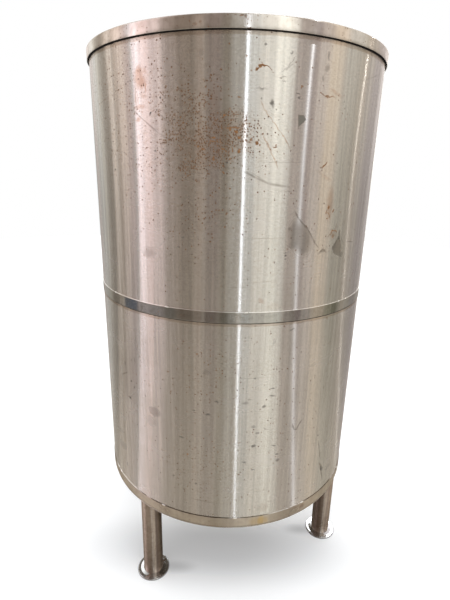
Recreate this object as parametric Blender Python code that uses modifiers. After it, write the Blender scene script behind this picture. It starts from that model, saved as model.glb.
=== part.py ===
"""Vertical storage tank of thin stainless sheet: two shell courses, a skirted lid and three tube legs.

Metres, +Z up. The origin is on the floor, on the tank's axis. The front of the tank faces -Y.
"""

import math

import bpy

# Driving dimensions
SHELL_RADIUS = 0.500
SHELL_SHEET = 0.002
LEG_HEIGHT = 0.3605
LID_HEIGHT = 1.915
JOINT_HEIGHT = 1.141
GAP = 0.0003

# Lid
LID_SHEET = 0.0015
SKIRT_RADIUS = 0.507
SKIRT_DEPTH = 0.032
CROWN_RADIUS = 0.460
CROWN_RISE = 0.012
CROWN_RINGS = 5

# Strips round the shell
STRIP_SHEET = 0.0015
MID_BAND_WIDTH = 0.034
BASE_BAND_WIDTH = 0.045

# Bottom
BOTTOM_SHEET = 0.002
BOTTOM_FLAT_RADIUS = 0.405
BOTTOM_FALL = 0.018

# Drain
SOCKET_RADIUS = 0.0265
SOCKET_WALL = 0.005
SOCKET_LENGTH = 0.036
PLUG_HEX_RADIUS = 0.026
PLUG_HEX_HEIGHT = 0.016
PLUG_SPIGOT_LENGTH = 0.014

# Legs, with the direction of each one round the axis
LEG_RADIUS = 0.03805
LEG_WALL = 0.002
LEG_CIRCLE_RADIUS = 0.4538
LEG_SEAM_BELOW_TANK = 0.088
LEG_DIRECTIONS = {"front_left": -128.9, "right": -16.4, "rear": 107.35}

# Feet
FOOT_RADIUS = 0.062
FOOT_THICKNESS = 0.005
FOOT_EDGE = 0.0015
FLARE_RADIUS = 0.056
FLARE_LIP = 0.0012
FLARE_TOP = 0.017

# Roundness
SHELL_SIDES = 96
TUBE_SIDES = 32
HEX_SIDES = 6
MERGE_DISTANCE = 0.00005
SHARP_ANGLE = math.radians(30)

FULL_TURN = 2 * math.pi
QUARTERS = {"right": -45, "back": 45, "left": 135, "front": 225}
HALVES = {"back": 0, "front": 180}


def clear_scene():
    for found in list(bpy.data.objects):
        bpy.data.objects.remove(found, do_unlink=True)


def steel(name, colour, roughness):
    """A stainless steel surface as one Principled material."""
    material = bpy.data.materials.new(name)
    material.use_nodes = True
    shader = material.node_tree.nodes["Principled BSDF"]
    shader.inputs["Base Color"].default_value = (*colour, 1.0)
    shader.inputs["Metallic"].default_value = 1.0
    shader.inputs["Roughness"].default_value = roughness
    return material


def collection_named(name):
    made = bpy.data.collections.new(name)
    bpy.context.scene.collection.children.link(made)
    return made


def empty_at(name, collection, location=(0, 0, 0), direction=0.0, parent=None):
    made = bpy.data.objects.new(name, None)
    collection.objects.link(made)
    made.location = location
    made.rotation_euler = (0, 0, math.radians(direction))
    made.parent = parent
    return made


def profile_object(name, points, closed, collection, parent):
    """Edges through (radius, height) points in the XZ plane, ready to be turned about Z."""
    edges = [(i, i + 1) for i in range(len(points) - 1)]
    if closed:
        edges.append((len(points) - 1, 0))
    mesh = bpy.data.meshes.new(name)
    mesh.from_pydata([(radius, 0, height) for radius, height in points], edges, [])
    made = bpy.data.objects.new(name, mesh)
    collection.objects.link(made)
    made.parent = parent
    return made


def add_screw(piece, sweep, sides):
    screw = piece.modifiers.new("turn", "SCREW")
    screw.axis = "Z"
    screw.angle = sweep
    screw.steps = sides
    screw.render_steps = sides
    screw.use_merge_vertices = True
    screw.merge_threshold = MERGE_DISTANCE


def settle(piece, material):
    """Makes the modifiers' result the object's own mesh, shaded smooth with sharp corners kept."""
    graph = bpy.context.evaluated_depsgraph_get()
    mesh = bpy.data.meshes.new_from_object(piece.evaluated_get(graph))
    mesh.name = piece.name
    piece.modifiers.clear()
    piece.data = mesh
    mesh.materials.clear()
    mesh.materials.append(material)
    mesh.shade_smooth()
    mesh.set_sharp_from_angle(angle=SHARP_ANGLE)
    return piece


def turned(name, points, sides, material, collection, parent, closed=True):
    """A full turn of a section. The section starts at the top of its outer side and runs down it."""
    piece = profile_object(name, points, closed, collection, parent)
    add_screw(piece, FULL_TURN, sides)
    return settle(piece, material)


def tube_section(outer_radius, wall, bottom, top):
    inner_radius = outer_radius - wall
    return [(outer_radius, top), (outer_radius, bottom), (inner_radius, bottom), (inner_radius, top)]


def rolled_sheet(name, outer_radius, thickness, bottom, top, start, sweep, material, collection, parent):
    """Sheet rolled round the axis from the direction start, short of the next one by the gap."""
    piece = profile_object(name, [(outer_radius, top), (outer_radius, bottom)], False, collection, parent)
    piece.rotation_euler = (0, 0, math.radians(start) + GAP / outer_radius / 2)
    sides = round(SHELL_SIDES * sweep / 360)
    add_screw(piece, math.radians(sweep) - GAP / outer_radius, sides)
    solidify = piece.modifiers.new("sheet", "SOLIDIFY")
    solidify.thickness = thickness
    solidify.offset = -1
    solidify.use_even_offset = True
    return settle(piece, material)


def make_lid(steels, collection, parent):
    rim_radius = SKIRT_RADIUS - LID_SHEET - GAP
    crown = []
    for ring in range(CROWN_RINGS + 1):
        share = ring / CROWN_RINGS
        crown.append((CROWN_RADIUS * share, LID_HEIGHT + CROWN_RISE * (1 - share * share)))
    top_side = [*crown, (rim_radius, LID_HEIGHT)]
    under_side = [(radius, height - LID_SHEET) for radius, height in reversed(top_side)]
    section = top_side + under_side
    turned("lid_top", section, SHELL_SIDES, steels["lid"], collection, parent, closed=False)
    for side, start in HALVES.items():
        rolled_sheet(
            f"lid_skirt_{side}", SKIRT_RADIUS, LID_SHEET, LID_HEIGHT - SKIRT_DEPTH, LID_HEIGHT,
            start, 180, steels["lid"], collection, parent,
        )


def make_shell(steels, collection, parent):
    courses = {
        "upper": (JOINT_HEIGHT + GAP / 2, LID_HEIGHT - LID_SHEET - GAP),
        "lower": (LEG_HEIGHT + BOTTOM_SHEET + GAP, JOINT_HEIGHT - GAP / 2),
    }
    for course, (bottom, top) in courses.items():
        for side, start in QUARTERS.items():
            rolled_sheet(
                f"{course}_shell_{side}", SHELL_RADIUS, SHELL_SHEET, bottom, top,
                start, 90, steels["shell"], collection, parent,
            )


def make_strips(steels, collection, parent):
    strip_radius = SHELL_RADIUS + GAP + STRIP_SHEET
    strips = {
        "mid_band": (JOINT_HEIGHT - MID_BAND_WIDTH / 2, MID_BAND_WIDTH),
        "base_band": (LEG_HEIGHT, BASE_BAND_WIDTH),
    }
    for strip, (bottom, width) in strips.items():
        for side, start in HALVES.items():
            rolled_sheet(
                f"{strip}_{side}", strip_radius, STRIP_SHEET, bottom, bottom + width,
                start, 180, steels["strip"], collection, parent,
            )


def make_bottom(steels, collection, parent):
    """The bottom sheet is flat where the legs meet it, then falls to the drain."""
    hole_radius = SOCKET_RADIUS + GAP
    under_side = [
        (SHELL_RADIUS, LEG_HEIGHT),
        (BOTTOM_FLAT_RADIUS, LEG_HEIGHT),
        (hole_radius, LEG_HEIGHT - BOTTOM_FALL),
    ]
    top_side = [(radius, height + BOTTOM_SHEET) for radius, height in reversed(under_side)]
    section = [top_side[-1], *under_side, *top_side[:-1]]
    turned("bottom_head", section, SHELL_SIDES, steels["shell"], collection, parent)


def make_plug(name, bottom, steels, collection, parent):
    """A hexagon head with a round spigot that stands inside the socket."""
    spigot_radius = SOCKET_RADIUS - SOCKET_WALL - GAP
    bpy.ops.mesh.primitive_cylinder_add(
        vertices=HEX_SIDES, radius=PLUG_HEX_RADIUS, depth=PLUG_HEX_HEIGHT,
        location=(0, 0, bottom + PLUG_HEX_HEIGHT / 2),
    )
    plug = bpy.context.object
    plug.name = name
    overlap = PLUG_HEX_HEIGHT / 2
    spigot_depth = PLUG_SPIGOT_LENGTH + overlap
    bpy.ops.mesh.primitive_cylinder_add(
        vertices=TUBE_SIDES, radius=spigot_radius, depth=spigot_depth,
        location=(0, 0, bottom + PLUG_HEX_HEIGHT - overlap + spigot_depth / 2),
    )
    spigot = bpy.context.object
    join = plug.modifiers.new("spigot", "BOOLEAN")
    join.operation = "UNION"
    join.object = spigot
    settle(plug, steels["fitting"])
    bpy.data.objects.remove(spigot, do_unlink=True)
    for home in list(plug.users_collection):
        home.objects.unlink(plug)
    collection.objects.link(plug)
    plug.parent = parent


def make_drain(steels, collection, parent):
    socket_top = LEG_HEIGHT - BOTTOM_FALL + BOTTOM_SHEET
    socket_bottom = socket_top - SOCKET_LENGTH
    section = tube_section(SOCKET_RADIUS, SOCKET_WALL, socket_bottom, socket_top)
    turned("drain_socket", section, TUBE_SIDES, steels["fitting"], collection, parent)
    make_plug("drain_plug", socket_bottom - GAP - PLUG_HEX_HEIGHT, steels, collection, parent)


def make_foot(name, steels, collection, parent):
    plate = [
        (0, FOOT_THICKNESS),
        (FOOT_RADIUS - FOOT_EDGE, FOOT_THICKNESS),
        (FOOT_RADIUS, FOOT_THICKNESS - FOOT_EDGE),
        (FOOT_RADIUS, FOOT_EDGE),
        (FOOT_RADIUS - FOOT_EDGE, 0),
        (0, 0),
    ]
    turned(f"foot_plate_{name}", plate, TUBE_SIDES, steels["foot"], collection, parent, closed=False)
    flare_bottom = FOOT_THICKNESS + GAP
    bore_radius = LEG_RADIUS + GAP
    flare = [
        (bore_radius + FLARE_LIP, FLARE_TOP),
        (FLARE_RADIUS, flare_bottom + FLARE_LIP),
        (FLARE_RADIUS, flare_bottom),
        (bore_radius, flare_bottom),
        (bore_radius, FLARE_TOP),
    ]
    turned(f"foot_flare_{name}", flare, TUBE_SIDES, steels["foot"], collection, parent)


def make_leg(name, direction, steels, collection, parent):
    angle = math.radians(direction)
    place = (LEG_CIRCLE_RADIUS * math.cos(angle), LEG_CIRCLE_RADIUS * math.sin(angle), 0)
    leg = empty_at(f"leg_{name}", collection, place, direction, parent)
    seam = LEG_HEIGHT - LEG_SEAM_BELOW_TANK
    lower = tube_section(LEG_RADIUS, LEG_WALL, FOOT_THICKNESS + GAP, seam - GAP / 2)
    upper = tube_section(LEG_RADIUS, LEG_WALL, seam + GAP / 2, LEG_HEIGHT - GAP)
    turned(f"leg_tube_{name}", lower, TUBE_SIDES, steels["leg"], collection, leg)
    turned(f"leg_stub_{name}", upper, TUBE_SIDES, steels["leg"], collection, leg)
    make_foot(name, steels, collection, leg)


def main():
    clear_scene()
    steels = {
        "shell": steel("shell_sheet", (0.56, 0.53, 0.48), 0.30),
        "lid": steel("lid_sheet", (0.58, 0.56, 0.53), 0.32),
        "strip": steel("strip_sheet", (0.55, 0.52, 0.48), 0.22),
        "leg": steel("leg_steel", (0.44, 0.39, 0.34), 0.30),
        "foot": steel("foot_polished", (0.72, 0.71, 0.70), 0.08),
        "fitting": steel("drain_fitting", (0.50, 0.47, 0.43), 0.35),
    }
    parts = collection_named("vertical_storage_tank")
    tank = empty_at("tank", parts)
    make_lid(steels, parts, tank)
    make_shell(steels, parts, tank)
    make_strips(steels, parts, tank)
    make_bottom(steels, parts, tank)
    make_drain(steels, parts, tank)
    for name, direction in LEG_DIRECTIONS.items():
        make_leg(name, direction, steels, parts, tank)


main()
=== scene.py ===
"""The finish of a vertical storage tank of brushed stainless sheet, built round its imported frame.

Metres, +Z up, the front of the tank towards -Y. An azimuth is in degrees round the axis, 0 at the front
and positive towards +X. A mark on the shell is placed by its azimuth and its height above the floor.
"""

import math

import bpy
from mathutils import Matrix, Vector, noise


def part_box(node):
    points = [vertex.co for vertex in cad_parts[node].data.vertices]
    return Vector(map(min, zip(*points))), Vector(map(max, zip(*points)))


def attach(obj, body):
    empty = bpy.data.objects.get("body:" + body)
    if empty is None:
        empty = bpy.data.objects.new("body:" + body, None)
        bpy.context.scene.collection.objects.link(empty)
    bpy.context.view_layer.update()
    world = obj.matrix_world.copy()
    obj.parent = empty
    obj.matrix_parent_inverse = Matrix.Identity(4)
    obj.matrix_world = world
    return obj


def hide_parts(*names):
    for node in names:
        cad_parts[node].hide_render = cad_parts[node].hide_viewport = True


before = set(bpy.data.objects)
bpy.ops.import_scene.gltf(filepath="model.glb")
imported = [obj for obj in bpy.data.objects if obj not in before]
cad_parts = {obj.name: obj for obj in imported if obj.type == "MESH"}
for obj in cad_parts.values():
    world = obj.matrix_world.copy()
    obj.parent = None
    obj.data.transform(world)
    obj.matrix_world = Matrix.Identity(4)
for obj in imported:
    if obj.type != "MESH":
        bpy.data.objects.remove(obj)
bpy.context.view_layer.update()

# Main sizes, from the frame
BODY = "root"
LEGS = ("front_left", "right", "rear")
QUARTERS = ("front", "right", "back", "left")
LID_LOW, LID_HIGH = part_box("lid_skirt_front")
CROWN_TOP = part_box("lid_top")[1].z
UPPER_LOW, UPPER_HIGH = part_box("upper_shell_front")
LOWER_LOW, LOWER_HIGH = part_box("lower_shell_front")
BAND_LOW, BAND_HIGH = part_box("mid_band_front")
PAN_LOW, PAN_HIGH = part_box("base_band_front")
HEAD_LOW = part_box("bottom_head")[0]
SKIRT_RADIUS = -LID_LOW.y
STRIP_RADIUS = -BAND_LOW.y
SHELL_RADIUS = -UPPER_LOW.y

# Sheet thicknesses and small radii
MM = 0.001
SHELL_SHEET = 0.002
LID_SHEET = 0.0015
STRIP_SHEET = 0.0015
LID_EDGE = 0.0035
CROWN_RADIUS = 0.460
HEM = 0.0007
STRIP_BEND = 0.0006
KNUCKLE = 0.011
HEAD_FLAT_RADIUS = 0.405
HEAD_EASE = 0.01
SOCKET_HOLE = 0.0268
# How far from a bend the flat sheet begins
LIP_EASE = 0.001
BEND_EASE = 0.0015
STRIP_EASE = 0.0016
KNUCKLE_EASE = 0.002

# How finely round pieces are cut
SHELL_SIDES = 288
STRIP_SIDES = 288
TUBE_SIDES = 72
FLOOR_SIDES = 96
SHELL_ROWS = 44
CROWN_RINGS = 24
ARC_STEPS = 5
SHARP = math.radians(38)

# The camera, fitted to the ellipses of the rim, the strip and the pan
CAMERA_PLACE = Vector((0.0, -1.6560, 1.5536))
CAMERA_PITCH = 0.300
CAMERA_YAW = -0.0133
CAMERA_ROLL = 0.0221
CAMERA_LENS = 24.993
CAMERA_SENSOR = 36.0


def radial(azimuth, radius, height):
    """The point at an azimuth in degrees, a radius and a height."""
    turn = math.radians(azimuth)
    return Vector((radius * math.sin(turn), -radius * math.cos(turn), height))


# Meshes


def piece_from(name, verts, faces):
    mesh = bpy.data.meshes.new(name)
    mesh.from_pydata(verts, [], faces)
    mesh.validate()
    piece = bpy.data.objects.new(name, mesh)
    bpy.context.scene.collection.objects.link(piece)
    mesh.shade_smooth()
    mesh.set_sharp_from_angle(angle=SHARP)
    return piece


def turned_mesh(section, sides, centre=(0.0, 0.0), wobble=None):
    """Vertices and faces of a full turn of a closed section of (radius, height) points.

    The section runs down its outer side and back up its inner side. A point on the axis is one vertex.
    """
    verts, rings = [], []
    for radius, height in section:
        if radius < 1e-6:
            rings.append([len(verts)] * sides)
            verts.append((centre[0], centre[1], height))
            continue
        rings.append(range(len(verts), len(verts) + sides))
        for side in range(sides):
            turn = 2 * math.pi * side / sides
            reach = radius + (wobble(turn, radius, height) if wobble else 0.0)
            verts.append((centre[0] + reach * math.cos(turn), centre[1] + reach * math.sin(turn), height))
    faces = []
    for i, ring in enumerate(rings):
        below = rings[(i + 1) % len(rings)]
        for side in range(sides):
            after = (side + 1) % sides
            corners = [ring[side], below[side], below[after], ring[after]]
            face = list(dict.fromkeys(corners))
            if len(face) > 2:
                faces.append(face)
    return verts, faces


def turned(name, section, sides, centre=(0.0, 0.0), wobble=None):
    return piece_from(name, *turned_mesh(section, sides, centre, wobble))


def joined(name, parts):
    """One piece from several (vertices, faces) pairs."""
    verts, faces = [], []
    for part_verts, part_faces in parts:
        start = len(verts)
        verts.extend(part_verts)
        faces.extend([[start + corner for corner in face] for face in part_faces])
    return piece_from(name, verts, faces)


def arc(radius, height, bend, start, end, steps=ARC_STEPS):
    """Points of a rounded corner about (radius, height), from one angle in degrees to another."""
    points = []
    for step in range(steps + 1):
        turn = math.radians(start + (end - start) * step / steps)
        points.append((radius + bend * math.cos(turn), height + bend * math.sin(turn)))
    return points


def run(start, end, count):
    """Points from start to end, without end itself."""
    return [
        tuple(a + (b - a) * step / count for a, b in zip(start, end))
        for step in range(count)
    ]


def dressed(piece, material, slot, *nodes):
    """Gives a piece its material and its body, and lets it stand for CAD nodes."""
    piece.data.materials.append(material)
    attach(piece, BODY)
    if nodes:
        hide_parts(*nodes)


# Sheet metal


SHEET_WAVE = 0.00022
SHEET_DIMPLE = 0.00002


def sheet_wobble(seed):
    """Rolled sheet is never quite round: long soft waves, and small ones from handling."""
    def wobble(turn, radius, height):
        around = Vector((math.cos(turn), math.sin(turn), 0.0))
        long_wave = noise.noise(around * 2.2 + Vector((seed, 0.0, height * 2.0)))
        short_wave = noise.noise(around * 9.0 + Vector((0.0, seed, height * 11.0)))
        return SHEET_WAVE * long_wave + SHEET_DIMPLE * short_wave
    return wobble


def make_course(which, low, high, seed, material):
    """One shell course: a sheet rolled into a ring."""
    inner = SHELL_RADIUS - SHELL_SHEET
    section = run((SHELL_RADIUS, high), (SHELL_RADIUS, low), SHELL_ROWS)
    section += [(SHELL_RADIUS, low), (inner, low), (inner, high)]
    course = turned(f"{which}_course", section, SHELL_SIDES, wobble=sheet_wobble(seed))
    dressed(course, material, "shell_sheet", *[f"{which}_shell_{side}" for side in QUARTERS])


SEAM_WIDTH = 0.0035
SEAM_RISE = 0.0006
SEAM_RIPPLE = 0.0035
SEAM_DIP = 0.72
SEAM_BOW = 0.001
SEAM_ACROSS = 8
UPPER_SEAM_AZIMUTH = 176.0
LOWER_SEAM_AZIMUTH = -158.0


def make_seam(name, azimuth, low, high, material):
    """The vertical weld that closes a course, a low rippled bead with a closed back in the sheet."""
    verts, faces = [], []
    rows = int((high - low) / SEAM_RIPPLE) * 2
    across = SEAM_ACROSS

    def place(row, share, rise, drop=0.0):
        height = low + (high - low) * row / rows - drop
        return radial(azimuth + math.degrees(share * SEAM_WIDTH / SHELL_RADIUS), SHELL_RADIUS + rise, height)

    for row in range(rows + 1):
        ripple = 1.0 if row % 2 else SEAM_DIP
        for column in range(across + 1):
            share = column / across * 2 - 1
            rise = SEAM_RISE * ripple * math.sqrt(max(0.0, 1 - share * share))
            verts.append(place(row, share, rise, ripple * SEAM_BOW * (1 - share * share)))
    for row in range(rows):
        for column in range(across):
            corner = row * (across + 1) + column
            faces.append((corner, corner + 1, corner + across + 2, corner + across + 1))
    back = len(verts)
    verts += [place(row, share, -SHELL_SHEET / 2) for row in (0, rows) for share in (-1, 1)]
    top_row = rows * (across + 1)
    left = [row * (across + 1) for row in range(rows + 1)]
    right = [corner + across for corner in left]
    faces.append([back, *range(0, across + 1), back + 1][::-1])
    faces.append([back + 2, *range(top_row, top_row + across + 1), back + 3])
    faces.append([back, *left, back + 2])
    faces.append([back + 1, *right, back + 3][::-1])
    faces.append([back, back + 1, back + 3, back + 2][::-1])
    dressed(piece_from(name, verts, faces), material, "shell_sheet")


LID_WAVE = 0.0005


def lid_wobble(turn, radius, height):
    """The skirt leans in and out a little. It never reaches past the frame's box."""
    if radius < SHELL_RADIUS:
        return 0.0
    around = Vector((math.cos(turn), math.sin(turn), 0.0))
    lean = (LID_HIGH.z - height) / (LID_HIGH.z - LID_LOW.z)
    return -LID_WAVE * lean * (0.5 + 0.5 * noise.noise(around * 3.1 + Vector((4.0, 0.0, 0.0))))


def make_lid(material):
    """Crowned sheet with its edge turned down into a skirt, the skirt's lip hemmed."""
    top = LID_HIGH.z
    outer = SKIRT_RADIUS
    inner = outer - LID_SHEET
    lip = LID_LOW.z + HEM
    crown = []
    for ring in range(CROWN_RINGS + 1):
        share = ring / CROWN_RINGS
        crown.append((CROWN_RADIUS * share, top + (CROWN_TOP - top) * (1 - share * share)))
    section = crown + run(crown[-1], (outer - LID_EDGE, top), 6)[1:]
    section += arc(outer - LID_EDGE, top - LID_EDGE, LID_EDGE, 90, 0)
    section += run((outer, top - LID_EDGE - BEND_EASE), (outer, lip + LIP_EASE), 4)
    section += arc(outer - HEM, lip, HEM, 0, -180)
    section += [(inner, lip + LIP_EASE), (inner, top - LID_EDGE)]
    section += arc(outer - LID_EDGE, top - LID_EDGE, LID_EDGE - LID_SHEET, 0, 90)
    section += [(radius, height - LID_SHEET) for radius, height in reversed(crown)]
    lid = turned("lid", section, STRIP_SIDES, wobble=lid_wobble)
    dressed(lid, material, "lid_sheet", "lid_top", "lid_skirt_front", "lid_skirt_back")


def strip_face(high, low):
    """The outer face of a strip, from its rounded top edge down to a height."""
    face = arc(STRIP_RADIUS - STRIP_BEND, high - STRIP_BEND, STRIP_BEND, 90, 0)
    return face + run((STRIP_RADIUS, high - STRIP_EASE), (STRIP_RADIUS, low), 8)


def make_mid_band(material):
    """The cover strip over the joint of the two courses, its long edges dressed round."""
    low, high = BAND_LOW.z, BAND_HIGH.z
    inner = STRIP_RADIUS - STRIP_SHEET
    section = strip_face(high, low + STRIP_EASE) + [(STRIP_RADIUS, low + STRIP_EASE)]
    section += arc(STRIP_RADIUS - STRIP_BEND, low + STRIP_BEND, STRIP_BEND, 0, -90)
    section += [(inner, low), (inner, high)]
    band = turned("mid_band", section, STRIP_SIDES, wobble=sheet_wobble(7.0))
    dressed(band, material, "strip_sheet", "mid_band_front", "mid_band_back")


def make_bottom_pan(material):
    """The pressed bottom: an upstand outside the shell, a round knuckle, a flat ring and a shallow fall."""
    low = PAN_LOW.z
    fall = low - HEAD_LOW.z
    upstand = STRIP_RADIUS - STRIP_SHEET
    middle = STRIP_RADIUS - KNUCKLE
    flat_start = middle - KNUCKLE_EASE
    section = strip_face(PAN_HIGH.z, low + KNUCKLE + BEND_EASE)
    section += arc(middle, low + KNUCKLE, KNUCKLE, 0, -90, 10)
    section += run((flat_start, low), (HEAD_FLAT_RADIUS + HEAD_EASE, low), 4)
    section += [(HEAD_FLAT_RADIUS, low - fall * 0.01)]
    section += run((HEAD_FLAT_RADIUS - HEAD_EASE, low - fall * 0.03), (SOCKET_HOLE, low - fall), 10)
    section += [(SOCKET_HOLE, low - fall), (SOCKET_HOLE, low - fall + SHELL_SHEET)]
    section += [(HEAD_FLAT_RADIUS, low + SHELL_SHEET), (flat_start, low + SHELL_SHEET)]
    section += arc(middle, low + KNUCKLE, KNUCKLE - SHELL_SHEET, -90, 0)
    section += [(upstand, low + KNUCKLE + KNUCKLE_EASE), (upstand, PAN_HIGH.z)]
    pan = turned("bottom_pan", section, STRIP_SIDES, wobble=sheet_wobble(11.0))
    dressed(pan, material, "strip_sheet", "base_band_front", "base_band_back", "bottom_head")


LAP_BEAD = 0.0013
BAND_BEAD = 0.0011
BEAD_REACH = 0.0004
BEAD_RIPPLE = 0.0004


def make_bead(name, height, bead, material):
    """A thin sealing weld along the top edge of a strip."""
    height += bead * 0.3
    back = SHELL_RADIUS - SHELL_SHEET / 2
    section = arc(SHELL_RADIUS + BEAD_REACH, height, bead, 90, -90, 4)
    section += [(back, height - bead), (back, height + bead)]

    def ripple(turn, radius, level):
        around = Vector((math.cos(turn), math.sin(turn), height))
        return BEAD_RIPPLE * noise.noise(around * 90.0) + BEAD_RIPPLE / 2 * noise.noise(around * 12.0)

    dressed(turned(name, section, STRIP_SIDES * 2, wobble=ripple), material, "strip_sheet")


TACK_LENGTH = 0.0075
TACK_HEIGHT = 0.0024
TACK_RISE = 0.0016
TACK_SINK = 0.0006
TACK_RINGS = 6
TACK_SIDES = 16
MID_TACK_SIZE = 0.95
MID_TACKS = (-22.4, 5.4, 44.7, 74.0, 103.0, 134.0, 166.0, -164.0, -133.0, -104.0, -76.0, -50.0)
PAN_TACKS = [4.0 + 30.0 * i for i in range(12)]


def tack(azimuth, height, size):
    """A flattened weld blob, half sunk in the strip behind it."""
    radius = STRIP_RADIUS - TACK_SINK
    verts, faces = [radial(azimuth, radius + TACK_RISE * size, height)], []
    for ring in range(1, TACK_RINGS + 1):
        tilt = math.pi / 2 * ring / TACK_RINGS
        for side in range(TACK_SIDES):
            turn = 2 * math.pi * side / TACK_SIDES
            along = TACK_LENGTH * size * math.sin(tilt) * math.cos(turn)
            up = TACK_HEIGHT * size * math.sin(tilt) * math.sin(turn)
            rise = TACK_RISE * size * math.cos(tilt)
            verts.append(radial(azimuth + math.degrees(along / radius), radius + rise, height + up))
    for side in range(TACK_SIDES):
        faces.append([0, 1 + side, 1 + (side + 1) % TACK_SIDES])
    for ring in range(TACK_RINGS - 1):
        start = 1 + ring * TACK_SIDES
        for side in range(TACK_SIDES):
            after = (side + 1) % TACK_SIDES
            faces.append([start + side, start + TACK_SIDES + side, start + TACK_SIDES + after, start + after])
    last = 1 + (TACK_RINGS - 1) * TACK_SIDES
    faces.append([last + side for side in range(TACK_SIDES)][::-1])
    return verts, faces


def make_tacks(material):
    mid = [tack(azimuth, BAND_HIGH.z + 0.4 * MM, MID_TACK_SIZE) for azimuth in MID_TACKS]
    pan = [tack(azimuth, PAN_HIGH.z + 0.5 * MM, 1.0) for azimuth in PAN_TACKS]
    dressed(joined("mid_band_tacks", mid), material, "strip_sheet")
    dressed(joined("bottom_pan_tacks", pan), material, "strip_sheet")


# Legs and feet


TUBE_WALL = 0.002
TUBE_BEVEL = 0.0007
TUBE_EASE = 0.004
# Weld rings: half width and rise.
LEG_SEAM = (0.0012, 0.0003)
LEG_WELD = (0.0034, 0.0030)


def middle_of(node):
    """The middle of an upright round node, and its radius."""
    low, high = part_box(node)
    return ((low.x + high.x) / 2, (low.y + high.y) / 2), (high.x - low.x) / 2


def make_leg(name, material, weld_material):
    centre, radius = middle_of(f"leg_tube_{name}")
    low, high = (corner.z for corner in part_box(f"leg_tube_{name}"))
    stub_low, stub_high = (corner.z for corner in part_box(f"leg_stub_{name}"))
    inner = radius - TUBE_WALL
    seam = (high + stub_low) / 2
    tube = run((radius, seam - TUBE_EASE), (radius, low + TUBE_EASE), 8)
    tube += [(radius, low + TUBE_EASE / 2), (radius - TUBE_BEVEL, low), (inner, low), (inner, high)]
    tube += [(radius - TUBE_BEVEL, high), (radius, high - TUBE_BEVEL)]
    dressed(turned(f"leg_{name}", tube, TUBE_SIDES, centre), material, "leg_steel", f"leg_tube_{name}")
    stub = run((radius, stub_high - TUBE_EASE), (radius, seam + TUBE_EASE), 5)
    stub += [(radius, stub_low + TUBE_BEVEL), (radius - TUBE_BEVEL, stub_low)]
    stub += [(inner, stub_low), (inner, stub_high), (radius, stub_high)]
    dressed(turned(f"leg_top_{name}", stub, TUBE_SIDES, centre), material, "leg_steel", f"leg_stub_{name}")
    ring = weld_ring(radius, seam, *LEG_SEAM, centre, 3.0)
    dressed(joined(f"leg_seam_{name}", [ring]), material, "leg_steel")
    ring = weld_ring(radius, stub_high - 1.5 * MM, *LEG_WELD, centre, 5.0)
    dressed(joined(f"leg_weld_{name}", [ring]), weld_material, "leg_steel")


RING_STEPS = 8
RING_SINK = 0.0002
RING_ROOT = 0.001


def weld_ring(radius, height, half_width, rise, centre, seed):
    """A bead round a tube. Its surface ripples along its length."""
    section = []
    for step in range(RING_STEPS + 1):
        turn = math.pi * step / RING_STEPS
        section.append((radius - RING_SINK + rise * math.sin(turn), height + half_width * math.cos(turn)))
    section += [(radius - RING_ROOT, height - half_width), (radius - RING_ROOT, height + half_width)]

    def ripple(turn, reach, level):
        if reach < radius:
            return 0.0
        around = Vector((math.cos(turn), math.sin(turn), seed))
        return rise * (0.18 * math.sin(turn * 60) + 0.35 * noise.noise(around * 6.0))

    return turned_mesh(section, TUBE_SIDES * 4, centre, ripple)


FOOT_BEND = 0.0016
FOOT_RIM = 0.012
FOOT_DISH = 0.0004
BORE_GAP = 0.0003
CONE_LIP = 0.0008
CONE_EDGE = 0.0006
CONE_RISE = 0.28
CONE_STEPS = 14


def make_foot(name, material):
    """A polished round plate with a dished cone round the tube's end."""
    centre, tube_radius = middle_of(f"leg_tube_{name}")
    radius = middle_of(f"foot_plate_{name}")[1]
    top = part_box(f"foot_plate_{name}")[1].z
    plate = [(0.0, top - FOOT_DISH), (radius - FOOT_RIM, top - FOOT_DISH)]
    plate += arc(radius - FOOT_BEND, top - FOOT_BEND, FOOT_BEND, 90, 0)
    plate += arc(radius - FOOT_BEND, FOOT_BEND, FOOT_BEND, 0, -90)
    plate += [(radius - FOOT_RIM, 0.0), (0.0, 0.0)]
    piece = turned(f"foot_{name}", plate, TUBE_SIDES, centre)
    dressed(piece, material, "foot_polished", f"foot_plate_{name}")
    reach = middle_of(f"foot_flare_{name}")[1]
    low, high = (corner.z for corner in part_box(f"foot_flare_{name}"))
    bore = tube_radius + BORE_GAP
    lip = bore + CONE_LIP
    rise = (high - low) * CONE_RISE
    cone = [(bore, low + rise), (lip, low + rise)]
    for step in range(1, CONE_STEPS + 1):
        share = (step / CONE_STEPS) ** 1.6
        height = low + rise * (1 - share) ** 1.3
        cone.append((lip + (reach - lip) * share, max(height, low + CONE_EDGE)))
    cone += [(reach, low), (bore, low)]
    piece = turned(f"foot_cone_{name}", cone, TUBE_SIDES, centre)
    dressed(piece, material, "foot_polished", f"foot_flare_{name}")


# Drain


SOCKET_WALL = 0.005
SOCKET_CHAMFER = 0.001
PLUG_RADIUS = 0.026
PLUG_HEAD = 0.016
PLUG_CHAMFER = 0.0014
PLUG_GAP = 0.0003
THREAD_TURNS = 6
THREAD_DEPTH = 0.0008


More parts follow.
